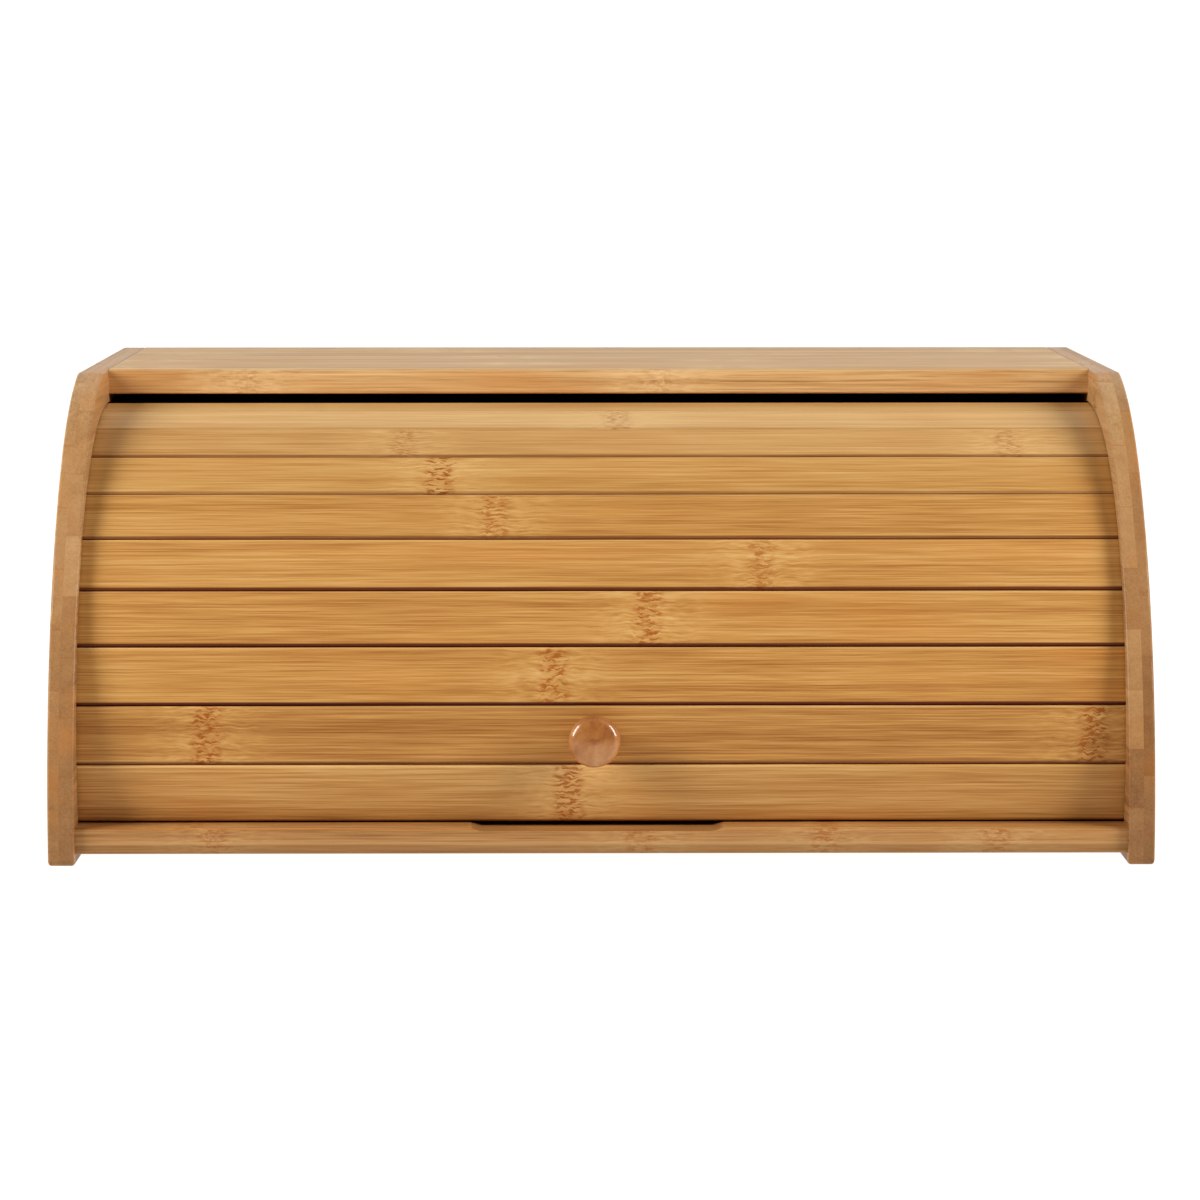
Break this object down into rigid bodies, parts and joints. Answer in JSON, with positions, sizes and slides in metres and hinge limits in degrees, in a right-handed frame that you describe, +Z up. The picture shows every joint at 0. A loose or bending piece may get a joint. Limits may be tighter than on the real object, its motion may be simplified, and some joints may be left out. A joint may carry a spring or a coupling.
{
  "type": "roll top bread box",
  "caption": "Bamboo bread box with curved side panels, a flat top and a slatted tambour front that rolls up and back in round grooves when its turned knob is lifted.",
  "frame": {"origin": "on the ground under the middle of the whole box, its knob included", "axes": "+X to the right seen from the front, along the width; -Y to the front, where the knob is; +Z up"},
  "size_m": [0.4, 0.2836, 0.171],
  "materials": {
    "side_bamboo": "satin lacquer, laminated bamboo blocks",
    "top_bamboo": "satin lacquer, fine straight grain",
    "slat_bamboo": "satin lacquer, fine straight grain with bamboo nodes",
    "base_bamboo": "satin lacquer, fine straight grain",
    "back_bamboo": "satin lacquer, glued strips",
    "knob_wood": "gloss lacquer",
    "dowel_wood": "bare",
    "canvas": "plain woven cotton",
    "steel": "zinc plated"
  },
  "bodies": {
    "carcass": {"left_side_panel": "side_bamboo", "right_side_panel": "side_bamboo", "top_panel": "top_bamboo", "base_panel": "base_bamboo", "back_panel": "back_bamboo", "top_dowel_left_1": "dowel_wood", "top_dowel_left_2": "dowel_wood", "top_dowel_left_3": "dowel_wood", "top_dowel_right_1": "dowel_wood", "top_dowel_right_2": "dowel_wood", "top_dowel_right_3": "dowel_wood", "base_dowel_left_1": "dowel_wood", "base_dowel_left_2": "dowel_wood", "base_dowel_left_3": "dowel_wood", "base_dowel_right_1": "dowel_wood", "base_dowel_right_2": "dowel_wood", "base_dowel_right_3": "dowel_wood", "back_screw_top_1": "steel", "back_screw_top_2": "steel", "back_screw_top_3": "steel", "back_screw_top_4": "steel", "back_screw_base_1": "steel", "back_screw_base_2": "steel", "back_screw_base_3": "steel", "back_screw_base_4": "steel"},
    "tambour": {"slat_01": "slat_bamboo", "slat_02": "slat_bamboo", "slat_03": "slat_bamboo", "slat_04": "slat_bamboo", "slat_05": "slat_bamboo", "slat_06": "slat_bamboo", "slat_07": "slat_bamboo", "slat_08": "slat_bamboo", "slat_09": "slat_bamboo", "slat_10": "slat_bamboo", "slat_11": "slat_bamboo", "tambour_cloth": "canvas", "knob": "knob_wood", "knob_screw": "steel"}
  },
  "joints": [
    {"name": "tambour_roll", "type": "hinge", "parent": "carcass", "child": "tambour", "pos_m": [0, -0.00523, 0.037], "axis": [-1, 0, 0], "range_deg": [0, 81.5]}
  ]
}
